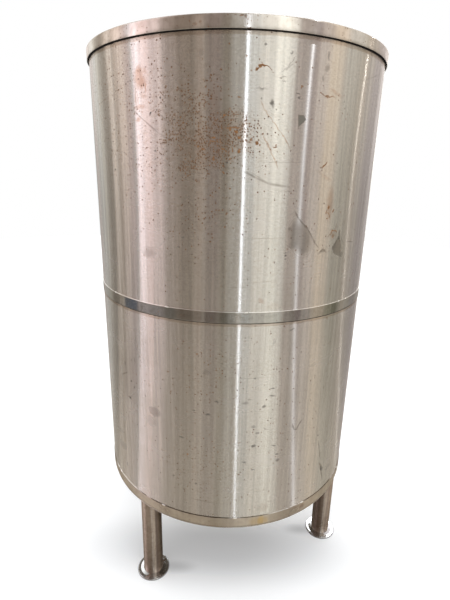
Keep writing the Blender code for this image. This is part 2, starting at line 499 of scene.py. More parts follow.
def make_drain(material):
    """The outlet socket in the bottom and the hexagon plug in it."""
    low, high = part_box("drain_socket")
    radius, inner, cut = high.x, high.x - SOCKET_WALL, SOCKET_CHAMFER
    low, high = low.z, high.z
    section = [(radius - cut, high), (radius, high - cut)]
    for inset, height in ((0.0, 6.0), (0.4, 5.5), (0.4, 3.0), (0.0, 2.5)):
        section.append((radius - inset * MM, low + height * MM))
    section += [(radius, low + cut), (radius - cut, low)]
    section += [(inner + cut, low), (inner, low + cut), (inner, high)]
    dressed(turned("drain_outlet", section, TUBE_SIDES), material, "drain_fitting", "drain_socket")
    low, high = (corner.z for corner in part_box("drain_plug"))
    spigot = inner - PLUG_GAP
    thread = [(0.0, high), (spigot - 0.001, high), (spigot, high - 0.001)]
    pitch = (high - 0.002 - low - PLUG_HEAD) / THREAD_TURNS
    for i in range(THREAD_TURNS):
        top = high - 0.0015 - pitch * i
        for inset, share in ((0.0, 0.25), (THREAD_DEPTH, 0.5), (0.0, 0.75)):
            thread.append((spigot - inset, top - pitch * share))
    thread += [(spigot, low + PLUG_HEAD / 2), (0.0, low + PLUG_HEAD / 2)]
    head = hexagon(PLUG_RADIUS, low, low + PLUG_HEAD, PLUG_CHAMFER)
    parts = [head, turned_mesh(thread, TUBE_SIDES)]
    dressed(joined("drain_plug_head", parts), material, "drain_fitting", "drain_plug")


def hexagon(radius, low, high, chamfer):
    """A hexagon head, both ends chamfered."""
    rings = [(radius - chamfer, high), (radius, high - chamfer)]
    rings += [(radius, low + chamfer), (radius - chamfer, low)]
    verts, faces = [], []
    for reach, height in rings:
        for side in range(6):
            turn = 2 * math.pi * side / 6
            verts.append((reach * math.cos(turn), reach * math.sin(turn), height))
    for ring in range(len(rings) - 1):
        for side in range(6):
            after = (side + 1) % 6
            a, b = ring * 6, ring * 6 + 6
            faces.append([a + side, b + side, b + after, a + after])
    faces.append([side for side in range(6)])
    last = (len(rings) - 1) * 6
    faces.append([last + side for side in range(6)][::-1])
    return verts, faces


# Node graphs


class Graph:
    """Short ways to add and link shader nodes in one tree."""

    def __init__(self, tree):
        self.tree = tree
        tree.nodes.clear()

    def node(self, kind, settings=None, **inputs):
        made = self.tree.nodes.new(kind)
        for name, value in (settings or {}).items():
            setattr(made, name, value)
        for name, value in inputs.items():
            self.feed(made.inputs[name.replace("_", " ")], value)
        return made

    def feed(self, socket, value):
        if isinstance(value, bpy.types.NodeSocket):
            self.tree.links.new(value, socket)
        elif value is not None:
            socket.default_value = value

    def feed_all(self, sockets, values):
        for socket, value in zip(sockets, values):
            self.feed(socket, value)

    def point(self):
        """The place on the piece, in metres from the frame's origin."""
        return self.node("ShaderNodeTexCoord").outputs["Object"]

    def maths(self, operation, *values):
        made = self.node("ShaderNodeMath", {"operation": operation})
        self.feed_all(made.inputs, values)
        return made.outputs[0]

    def times(self, first, second):
        return self.maths("MULTIPLY", first, second)

    def larger(self, first, second):
        return self.maths("MAXIMUM", first, second)

    def vector(self, operation, *values):
        made = self.node("ShaderNodeVectorMath", {"operation": operation})
        self.feed_all([socket for socket in made.inputs if socket.enabled], values)
        return made.outputs["Value" if operation in ("LENGTH", "DOT_PRODUCT") else "Vector"]

    def combine(self, x, y, z):
        return self.node("ShaderNodeCombineXYZ", X=x, Y=y, Z=z).outputs[0]

    def step(self, value, start, end, low=0.0, high=1.0):
        """A smooth step from low to high as value goes from start to end."""
        made = self.node("ShaderNodeMapRange", {"interpolation_type": "SMOOTHSTEP"})
        self.feed_all(made.inputs, (value, start, end, low, high))
        return made.outputs[0]

    def blend(self, share, first, second):
        """A colour between two."""
        made = self.node("ShaderNodeMix", {"data_type": "RGBA"})
        self.feed(made.inputs["Factor"], share)
        colours = [socket for socket in made.inputs if socket.type == "RGBA"]
        self.feed_all(colours, (rgba(first), rgba(second)))
        return next(socket for socket in made.outputs if socket.type == "RGBA")

    def mix(self, share, first, second):
        """A shader between two."""
        made = self.node("ShaderNodeMixShader")
        self.feed_all(made.inputs, (share, first, second))
        return made.outputs[0]

    def noise(self, place, stretch, detail, roughness=0.5):
        """Noise with so many lumps to a metre along each axis."""
        stretched = self.vector("MULTIPLY", place, stretch)
        made = self.node("ShaderNodeTexNoise", Vector=stretched, Scale=1.0, Detail=detail)
        self.feed(made.inputs["Roughness"], roughness)
        return made.outputs["Fac"]


def rgba(colour):
    return (*colour, 1.0) if isinstance(colour, tuple) and len(colour) == 3 else colour


# The room that the steel reflects

WHITE = (1.0, 1.0, 1.0)
FLOOR_TONE = (0.95, 0.88, 0.74)
UPPER_TONE = (0.57, 0.53, 0.48)
BACKDROP = 1.0
SOFT_LIGHT = 1.16
FLOOR_EDGE = -30.0
FLOOR_SOFTNESS = 12.0
WALL_TOP = 60.0
WALL_SOFTNESS = 8.0
# Below eye level the walls stand in shade; above it they are this many times brighter.
WALL_LIFT = 3.0
WALL_LIFT_START = -3.0
WALL_LIFT_END = 13.0
WINDOW_EDGE = 2.0

# Walls and what stands before them: azimuth, half width, edge softness, colour in the shade.
# A later panel lies over an earlier one.
ROOM_WALLS = (
    (-168, 14, 4, (0.76, 0.80, 0.80)),
    (168, 13, 4, (2.40, 2.45, 2.45)),
    (-147, 5, 4, (0.70, 0.66, 0.65)),
    (-135, 6, 4, (0.58, 0.58, 0.56)),
    (-126, 3, 2, (0.49, 0.47, 0.42)),
    (-115, 7, 4, (0.25, 0.22, 0.19)),
    (-105.5, 2.5, 2, (0.43, 0.38, 0.33)),
    (-99, 2.5, 2, (0.29, 0.23, 0.19)),
    (-92, 2.5, 2, (0.49, 0.41, 0.35)),
    (-86, 4, 2, (0.42, 0.34, 0.33)),
    (-60, 6, 6, (0.58, 0.48, 0.47)),
    (-49, 5, 5, (0.21, 0.17, 0.15)),
    (-37, 8, 5, (0.14, 0.11, 0.09)),
    (-26, 3, 3, (0.26, 0.21, 0.18)),
    (-16, 6, 4, (0.15, 0.12, 0.11)),
    (-7, 3, 3, (0.14, 0.12, 0.10)),
    (1, 4, 4, (0.30, 0.29, 0.27)),
    (13, 4.5, 2, (0.50, 0.51, 0.50)),
    (24, 7, 5, (0.65, 0.64, 0.60)),
    (34, 5, 4, (0.84, 0.84, 0.78)),
    (40.5, 2, 2, (0.74, 0.74, 0.70)),
    (46.5, 2.5, 1.5, (0.35, 0.31, 0.29)),
    (52, 3, 2, (0.28, 0.25, 0.23)),
    (58, 3, 2, (0.21, 0.17, 0.17)),
    (66, 5, 3, (0.43, 0.39, 0.37)),
    (78, 7, 4, (0.58, 0.50, 0.41)),
    (91, 6, 3, (0.34, 0.32, 0.25)),
    (101, 4, 3, (0.30, 0.28, 0.23)),
    (109, 3, 2, (0.46, 0.41, 0.35)),
    (118, 4, 2, (0.43, 0.40, 0.36)),
    (130, 8, 4, (0.38, 0.35, 0.34)),
    (146, 6, 4, (0.66, 0.62, 0.62)),
)

# Openings, and things low on the floor: azimuth, half width, edge softness, lowest and highest
# elevation, colour.
ROOM_WINDOWS = (
    (-76.0, 3.4, 1.2, -9, 42, (2.90, 2.45, 2.55)),
    (-68.8, 3.8, 2.0, -9, 42, (2.00, 1.55, 1.52)),
    (-106.0, 3.5, 4.0, 0, 45, (1.95, 1.75, 1.60)),
    (-93.0, 4.0, 4.0, 0, 45, (1.95, 1.66, 1.50)),
    (93.0, 9.0, 6.0, 6, 50, (1.25, 1.20, 1.12)),
    (-83.0, 4.0, 1.5, 18, 55, (2.00, 2.20, 2.50)),
    (7.6, 0.75, 1.0, -10, 24, (6.60, 7.20, 8.00)),
    (-92.5, 8.5, 2, -28, -12, (0.085, 0.115, 0.165)),
    (-70, 12, 4, -28, -12, (0.25, 0.24, 0.25)),
    (-52, 6, 3, -28, -12, (0.15, 0.145, 0.135)),
    (-4.5, 2.6, 1.5, -28, -12, (0.11, 0.10, 0.08)),
    (98, 4, 3, -28, -12, (0.18, 0.175, 0.13)),
)

# Small bright lamps, far off: azimuth, elevation, radius in degrees, radiance.
LAMPS = {
    "ceiling lamp": (86.25, 55.0, 0.5, (1100.0, 1190.0, 1300.0)),
    "wall lamp": (122.75, 27.0, 0.45, (350.0, 340.0, 320.0)),
}
LAMP_DISTANCE = 6.0


def build_world():
    """White to the camera, even to the floor, and a room of soft panels to whatever mirrors it."""
    world = bpy.data.worlds.new("studio")
    bpy.context.scene.world = world
    world.use_nodes = True
    world.cycles.sampling_method = "NONE"
    graph = Graph(world.node_tree)
    direction = graph.node("ShaderNodeTexCoord").outputs["Generated"]
    split = graph.node("ShaderNodeSeparateXYZ", Vector=direction)
    back = graph.times(split.outputs["Y"], -1.0)
    azimuth = graph.maths("DEGREES", graph.maths("ARCTAN2", split.outputs["X"], back))
    elevation = graph.maths("DEGREES", graph.maths("ARCSINE", split.outputs["Z"]))

    def across(centre, half_width, softness):
        away = graph.maths("ABSOLUTE", graph.maths("SUBTRACT", azimuth, float(centre)))
        return graph.step(away, half_width + softness / 2, half_width - softness / 2)

    def between(low, high, softness):
        away = graph.maths("ABSOLUTE", graph.maths("SUBTRACT", elevation, (low + high) / 2))
        half = (high - low) / 2
        return graph.step(away, half + softness, half - softness)

    upright = between(FLOOR_EDGE, WALL_TOP, WALL_SOFTNESS)
    lift = graph.step(elevation, WALL_LIFT_START, WALL_LIFT_END, 1.0, WALL_LIFT)
    above = graph.step(elevation, FLOOR_EDGE - FLOOR_SOFTNESS, FLOOR_EDGE + FLOOR_SOFTNESS)
    room = graph.blend(above, FLOOR_TONE, UPPER_TONE)
    for *place, colour in ROOM_WALLS:
        lit = graph.vector("SCALE", colour, lift)
        room = graph.blend(graph.times(across(*place), upright), room, lit)
    for *place, low, high, colour in ROOM_WINDOWS:
        room = graph.blend(graph.times(across(*place), between(low, high, WINDOW_EDGE)), room, colour)

    def background(colour, strength):
        return graph.node("ShaderNodeBackground", Color=rgba(colour), Strength=strength).outputs[0]

    path = graph.node("ShaderNodeLightPath")
    lit = graph.mix(path.outputs["Is Diffuse Ray"], background(room, 1.0), background(WHITE, SOFT_LIGHT))
    whole = graph.mix(path.outputs["Is Camera Ray"], lit, background(WHITE, BACKDROP))
    graph.node("ShaderNodeOutputWorld", Surface=whole)


def hang_lamps():
    """Lamps that only the steel sees, as discs at an endless distance."""
    for name, (azimuth, elevation, radius, radiance) in LAMPS.items():
        light = bpy.data.lights.new(name, "SUN")
        brightest = max(radiance)
        light.color = [channel / brightest for channel in radiance]
        light.angle = math.radians(2 * radius)
        light.energy = brightest * math.pi * math.radians(radius) ** 2
        lamp = bpy.data.objects.new(name, light)
        bpy.context.scene.collection.objects.link(lamp)
        tilt = math.radians(elevation)
        lamp.location = radial(azimuth, LAMP_DISTANCE * math.cos(tilt), LAMP_DISTANCE * math.sin(tilt))
        lamp.rotation_mode = "QUATERNION"
        lamp.rotation_quaternion = lamp.location.to_track_quat("Z", "Y")
        lamp.visible_diffuse = False
        lamp.visible_camera = False


FLOOR_RADIUS = 9.0
FLOOR_COLOUR = (0.860, 0.875, 0.895)
# The floor glows to white outside a long oval of shade, from its start to its end.
GLOW = 0.305
SHADE_CENTRE = (-0.03, -0.25, 0.0)
SHADE_OVAL = (1.0, 0.31, 1.0)
SHADE_START = 0.14
SHADE_END = 0.80
# Painted shadows beside the feet: x, y, half length, half width, strength.
FOOT_SHADES = (
    (-0.190, -0.352, 0.105, 0.040, 0.30),
    (0.345, -0.140, 0.105, 0.045, 0.42),
    (-0.060, 0.430, 0.105, 0.045, 0.35),
)
# Painted contact shadow: a dark ring round each foot plate, its strength and its width.
CONTACT_SHADE = 0.62
CONTACT_WIDTH = 0.0045


def oval_distance(graph, point, centre, oval):
    """How far a point lies from a centre, measured in ovals."""
    away = graph.vector("SUBTRACT", point, centre)
    return graph.vector("LENGTH", graph.vector("DIVIDE", away, oval))


def make_floor():
    """A pale floor that only the camera and soft light see, with painted shadow under the tank and round the
    feet.
    """
    pale, graph = material_graph("pale_floor")
    point = graph.point()
    away = oval_distance(graph, point, SHADE_CENTRE, SHADE_OVAL)
    glow = graph.step(away, SHADE_START, SHADE_END, 0.0, GLOW)
    shade = 0.0
    for x, y, half_length, half_width, strength in FOOT_SHADES:
        near = oval_distance(graph, point, (x, y, 0.0), (half_length, half_width, 1.0))
        shade = graph.larger(shade, graph.step(near, 1.0, 0.0, 0.0, strength))
    for name in LEGS:
        centre, radius = middle_of(f"foot_plate_{name}")
        near = graph.vector("LENGTH", graph.vector("SUBTRACT", point, (*centre, 0.0)))
        shade = graph.larger(shade, graph.step(near, radius + CONTACT_WIDTH, radius, 0.0, CONTACT_SHADE))
    tone = graph.blend(shade, FLOOR_COLOUR, (0.0, 0.0, 0.0))
    shader = graph.node("ShaderNodeBsdfPrincipled", Base_Color=tone, Roughness=0.9)
    graph.feed(shader.inputs["Emission Color"], rgba(WHITE))
    graph.feed(shader.inputs["Emission Strength"], glow)
    shader.inputs["Specular IOR Level"].default_value = 0.0
    graph.node("ShaderNodeOutputMaterial", Surface=shader.outputs[0])
    floor = disc("floor", FLOOR_RADIUS, 0.0, pale)
    floor.visible_glossy = False


# Painted shadow on the floor under the tank, seen only in the steel: its tone, its reach, where it is full,
# and its height.
UNDER_SHADOW_TONE = (0.045, 0.034, 0.024)
UNDER_RADIUS = 0.86
UNDER_FULL = 0.36
UNDER_HEIGHT = -0.0005


def make_under_shade():
    """A painted shadow on the floor under the tank: a dark glowing disc, fading outwards, which only the
    steel mirrors.
    """
    dark, graph = material_graph("painted_floor_shadow")
    share = graph.step(graph.vector("LENGTH", graph.point()), UNDER_RADIUS, UNDER_FULL, 0.0, 0.95)
    clear = graph.node("ShaderNodeBsdfTransparent").outputs[0]
    glow = graph.node("ShaderNodeEmission", Color=rgba(UNDER_SHADOW_TONE), Strength=1.0).outputs[0]
    graph.node("ShaderNodeOutputMaterial", Surface=graph.mix(share, clear, glow))
    shade = disc("under_shade", UNDER_RADIUS, UNDER_HEIGHT, dark)
    shade.visible_camera = False
    shade.visible_diffuse = False
    shade.visible_shadow = False


def disc(name, radius, height, material):
    """A flat round piece of the stage."""
    verts = [radial(360 * side / FLOOR_SIDES, radius, height) for side in range(FLOOR_SIDES)]
    piece = piece_from(name, verts, [list(range(FLOOR_SIDES))])
    piece.data.materials.append(material)
    return piece


# Marks

# A mark: azimuth, height, half length and half width in metres, strength, and its tilt if it has one.
# A line: azimuth and height of its start, azimuth and height of its end, half width, strength.

UPPER_MARKS = {
    "rust": (
        (5.9, 1.7975, 0.0052, 0.0034, 1.0, 25), (6.7, 1.804, 0.0056, 0.0044, 1.0, 15),
        (7.7, 1.807, 0.007, 0.0024, 1.0), (10.7, 1.7925, 0.0018, 0.0014, 0.8),
        (4.4, 1.7945, 0.003, 0.0012, 0.6), (2.8, 1.825, 0.0022, 0.0017, 1.0),
        (20.0, 1.765, 0.003, 0.0024, 0.8), (30.3, 1.575, 0.012, 0.0018, 1.0, 41),
        (33.8, 1.459, 0.0038, 0.0066, 1.0, -12), (36.3, 1.449, 0.0026, 0.0052, 1.0),
        (33.5, 1.428, 0.0028, 0.0022, 0.8), (34.5, 1.433, 0.0028, 0.002, 0.8),
        (37.3, 1.374, 0.0046, 0.0056, 0.55), (-10.8, 1.614, 0.004, 0.0022, 0.9, -20),
        (-9.5, 1.608, 0.0042, 0.0022, 0.9, -25), (6.6, 1.625, 0.005, 0.0044, 1.0, -8),
        (7.6, 1.621, 0.002, 0.0034, 0.9), (5.0, 1.634, 0.005, 0.003, 0.8, 40),
        (4.2, 1.627, 0.008, 0.002, 0.6), (8.4, 1.647, 0.0034, 0.0024, 1.0),
        (12.4, 1.617, 0.005, 0.0018, 0.8, 5), (12.6, 1.621, 0.0022, 0.002, 0.7, 5),
        (-3.0, 1.69, 0.003, 0.0026, 1.0), (-0.2, 1.661, 0.02, 0.0022, 0.8), (0.4, 1.65, 0.005, 0.004, 1.0),
        (1.4, 1.637, 0.0044, 0.0034, 0.9), (-1.3, 1.659, 0.003, 0.005, 0.9),
        (-6.3, 1.636, 0.005, 0.0024, 1.0), (1.5, 1.603, 0.0042, 0.0044, 1.0, -10),
        (1.6, 1.61, 0.0052, 0.0016, 0.8, -10), (-0.5, 1.608, 0.0016, 0.008, 0.8),
        (-6.2, 1.584, 0.0028, 0.006, 0.8), (-3.4, 1.608, 0.003, 0.003, 0.9),
        (-1.4, 1.584, 0.005, 0.0016, 0.8, 20), (-3.3, 1.55, 0.0036, 0.0016, 0.8),
        (-10.8, 1.664, 0.0014, 0.006, 0.7),
    ),
    "rust_lines": (
        (8.2, 1.8075, 9.6, 1.803, 0.0014, 0.9), (9.6, 1.803, 10.3, 1.796, 0.0012, 0.8),
        (33.2, 1.451, 32.9, 1.44, 0.0016, 0.9), (33.6, 1.445, 34.6, 1.436, 0.0016, 0.8),
        (36.0, 1.38, 36.8, 1.391, 0.0022, 0.9), (36.8, 1.391, 39.2, 1.3865, 0.0016, 0.8),
        (34.6, 1.374, 36.0, 1.381, 0.0012, 0.4), (26.4, 1.755, 28.0, 1.749, 0.0017, 0.75),
        (28.0, 1.749, 30.0, 1.7475, 0.002, 0.8), (30.0, 1.7475, 31.2, 1.752, 0.0018, 0.75),
        (31.2, 1.752, 32.2, 1.749, 0.0014, 0.6), (-7.6, 1.628, -4.6, 1.626, 0.0016, 0.7),
        (-1.0, 1.692, 1.6, 1.693, 0.001, 0.6), (0.6, 1.733, 1.5, 1.732, 0.0012, 0.8),
    ),
    "spots": (
        (-27.1, 1.698, 0.0042, 0.002, 1.0), (-27.1, 1.6955, 0.0018, 0.0034, 1.0),
        (-27.0, 1.7215, 0.0022, 0.0016, 0.9), (-23.3, 1.734, 0.0022, 0.0016, 0.9),
        (2.0, 1.7015, 0.0016, 0.0024, 1.0), (7.4, 1.732, 0.0024, 0.0018, 0.9),
        (7.5, 1.753, 0.005, 0.0026, 0.4, 20), (-18.6, 1.6805, 0.0022, 0.0016, 0.9),
        (-2.2, 1.574, 0.002, 0.0026, 1.0), (-25.6, 1.603, 0.0022, 0.0026, 0.8),
        (-25.6, 1.582, 0.0022, 0.0018, 0.8), (-31.6, 1.59, 0.0026, 0.001, 0.9),
        (-16.0, 1.373, 0.0032, 0.001, 0.9), (-17.7, 1.345, 0.0025, 0.0018, 0.7),
        (8.1, 1.853, 0.003, 0.0028, 0.8, -35), (10.8, 1.7215, 0.0055, 0.006, 0.62),
        (18.8, 1.748, 0.0048, 0.0018, 0.85, -20), (19.1, 1.739, 0.0036, 0.003, 0.8, 30),
        (16.0, 1.84, 0.005, 0.0026, 0.6, 30), (18.1, 1.326, 0.0036, 0.0024, 1.0),
        (17.9, 1.333, 0.004, 0.0018, 0.7), (18.0, 1.317, 0.0024, 0.0018, 0.8),
        (-46.9, 1.363, 0.0036, 0.001, 0.8), (-39.7, 1.297, 0.004, 0.001, 0.9),
        (-43.8, 1.453, 0.003, 0.0008, 0.8), (-45.2, 1.552, 0.003, 0.002, 0.8),
        (-47.3, 1.605, 0.003, 0.001, 0.8), (24.6, 1.206, 0.0036, 0.0009, 0.9),
        (36.4, 1.741, 0.003, 0.0008, 0.8), (14.5, 1.548, 0.0018, 0.0014, 0.7),
    ),
    "film": (
        (-31.2, 1.785, 0.016, 0.025, 0.9), (-30.4, 1.775, 0.015, 0.016, 1.0, -20),
        (-31.2, 1.801, 0.01, 0.013, 1.0), (-29.0, 1.801, 0.006, 0.008, 0.45),
        (-29.8, 1.743, 0.011, 0.006, 0.4, -30), (-31.6, 1.715, 0.019, 0.0048, 0.65, 4),
        (-30.2, 1.714, 0.007, 0.0046, 0.6, 10), (-30.4, 1.701, 0.005, 0.0022, 0.6),
        (-32.0, 1.683, 0.009, 0.005, 0.8, 15), (-32.6, 1.743, 0.005, 0.025, 0.25),
        (-1.5, 1.65, 0.052, 0.05, 0.42), (-7.0, 1.615, 0.075, 0.045, 0.3, 8),
        (34.4, 1.47, 0.012, 0.042, 0.65), (37.0, 1.38, 0.016, 0.012, 0.4), (-6.2, 1.706, 0.014, 0.05, 0.3),
        (10.4, 1.193, 0.009, 0.006, 0.5, -25), (32.5, 1.76, 0.022, 0.004, 0.4, -18),
        (31.0, 1.545, 0.03, 0.004, 0.25, -25), (15.0, 1.175, 0.02, 0.01, 0.15),
    ),
    "film_lines": (
        (-28.6, 1.772, -28.6, 1.752, 0.0026, 1.0), (-32.8, 1.756, -32.8, 1.716, 0.0012, 0.8),
        (-31.9, 1.748, -31.9, 1.718, 0.0012, 0.8), (-33.0, 1.742, -32.9, 1.72, 0.001, 0.6),
        (7.5, 1.724, 8.2, 1.711, 0.0016, 0.9), (8.2, 1.711, 11.0, 1.682, 0.0013, 0.8),
        (11.0, 1.682, 13.9, 1.654, 0.0013, 0.8), (13.9, 1.654, 17.2, 1.617, 0.0014, 0.9),
        (8.8, 1.64, 11.6, 1.599, 0.0022, 0.8), (11.6, 1.599, 13.6, 1.566, 0.0016, 0.8),
        (-27.6, 1.726, -26.6, 1.722, 0.0022, 0.8),
    ),
    # A veil: the soft oval that it fades in, and its crisp outline.
    "veils": (
        (
            (23.2, 1.376, 0.029, 0.046, 0.75, 20),
            ((20.7, 1.447), (10.0, 1.42), (10.0, 1.3), (31.5, 1.3), (31.0, 1.343), (25.8, 1.402)),
        ),
        (
            (40.6, 1.345, 0.028, 0.04, 0.85),
            ((40.9, 1.38), (37.4, 1.338), (38.4, 1.322), (42.2, 1.306), (42.6, 1.345), (41.6, 1.362)),
        ),
    ),
    "flakes": (
        ((19.2, 1.698), (19.5, 1.667), (20.6, 1.6755), (22.0, 1.687), (21.2, 1.698)),
        ((40.5, 1.39), (40.2, 1.362), (41.3, 1.362), (40.9, 1.39)),
    ),
    "smudges": (
        (-29.3, 1.317, 0.02, 0.013, 0.55, 2), (-29.0, 1.333, 0.022, 0.003, 0.35, 3),
        (10.7, 1.723, 0.005, 0.0056, 0.9), (11.0, 1.714, 0.002, 0.004, 0.6),
        (28.4, 1.843, 0.0036, 0.009, 0.7), (28.2, 1.813, 0.006, 0.009, 0.55, -30),
        (26.9, 1.789, 0.004, 0.006, 0.5), (15.0, 1.805, 0.019, 0.0022, 0.45, 32),
        (16.0, 1.818, 0.015, 0.0016, 0.45, 50), (13.6, 1.783, 0.01, 0.0016, 0.5, 12),
        (14.0, 1.774, 0.005, 0.0022, 0.5), (7.6, 1.754, 0.013, 0.0024, 0.4), (14.4, 1.306, 0.002, 0.005, 0.4),
        (-10.1, 1.833, 0.006, 0.008, 0.3), (18.9, 1.401, 0.006, 0.0046, 0.9, -5),
        (20.4, 1.387, 0.006, 0.03, 0.55), (24.8, 1.364, 0.006, 0.03, 0.55), (20.5, 1.357, 0.011, 0.011, 0.6),
        (24.4, 1.34, 0.01, 0.011, 0.6), (43.0, 1.314, 0.01, 0.008, 0.65, -30),
        (38.4, 1.34, 0.008, 0.006, 0.55, 30), (32.8, 1.332, 0.012, 0.0046, 0.6),
    ),
    "scratch_lines": (
        (-33.5, 1.705, -29.5, 1.68, 0.0018, 0.6), (-29.5, 1.68, -24.9, 1.652, 0.0022, 0.7),
        (-24.9, 1.652, -20.5, 1.63, 0.0022, 0.3), (-24.0, 1.697, -21.5, 1.68, 0.0018, 0.5),
        (-24.4, 1.824, -24.4, 1.797, 0.0016, 0.3), (-26.2, 1.818, -26.2, 1.8, 0.0013, 0.22),
        (8.0, 1.578, 20.3, 1.58, 0.0012, 0.4), (3.6, 1.552, 7.0, 1.538, 0.0026, 0.75),
        (5.6, 1.55, 9.0, 1.534, 0.0014, 0.45), (7.0, 1.538, 11.3, 1.523, 0.0026, 0.8),
        (11.3, 1.523, 16.6, 1.517, 0.003, 0.8), (10.6, 1.528, 14.0, 1.521, 0.0012, 0.4),
        (13.5, 1.506, 19.2, 1.504, 0.001, 0.35), (46.6, 1.351, 49.9, 1.347, 0.001, 0.9),
        (46.5, 1.807, 58.0, 1.837, 0.0012, 0.3), (20.7, 1.446, 21.7, 1.432, 0.0024, 1.0),
        (21.7, 1.432, 24.2, 1.411, 0.0022, 1.0), (24.2, 1.411, 25.6, 1.402, 0.0026, 1.0),
        (25.6, 1.402, 28.2, 1.369, 0.0018, 0.9), (28.2, 1.369, 29.2, 1.357, 0.0026, 0.9),
        (29.2, 1.357, 30.8, 1.343, 0.0014, 0.7), (31.5, 1.327, 33.0, 1.338, 0.0026, 0.9),
        (33.0, 1.338, 34.4, 1.329, 0.0024, 0.8), (40.5, 1.386, 40.9, 1.366, 0.002, 0.9),
        (38.0, 1.34, 39.9, 1.361, 0.0016, 0.6), (41.4, 1.372, 43.4, 1.352, 0.0016, 0.6),
        (18.0, 1.357, 20.2, 1.345, 0.0016, 0.5), (4.0, 1.246, 15.0, 1.254, 0.001, 0.3),
        (-1.0, 1.233, 6.0, 1.236, 0.001, 0.3), (2.0, 1.374, 16.8, 1.378, 0.0009, 0.4),
        (-64.5, 1.626, -62.0, 1.624, 0.0008, 0.6), (-58.7, 1.776, -57.0, 1.774, 0.0008, 0.5),
    ),
    # Where small rust specks lie, and how densely.
    "specks": (
        (-1.0, 1.655, 0.045, 0.05, 0.95), (-6.0, 1.615, 0.08, 0.055, 0.85, 8), (-12.0, 1.64, 0.1, 0.13, 0.66),
        (-14.0, 1.7, 0.11, 0.085, 0.62), (-33.0, 1.7, 0.22, 0.19, 0.24), (-20.0, 1.57, 0.23, 0.12, 0.26),
        (-40.0, 1.64, 0.07, 0.1, 0.18), (5.0, 1.64, 0.045, 0.05, 0.5), (10.0, 1.64, 0.06, 0.06, 0.24),
        (-8.0, 1.45, 0.13, 0.11, 0.28), (2.0, 1.44, 0.42, 0.34, 0.07),
    ),
}
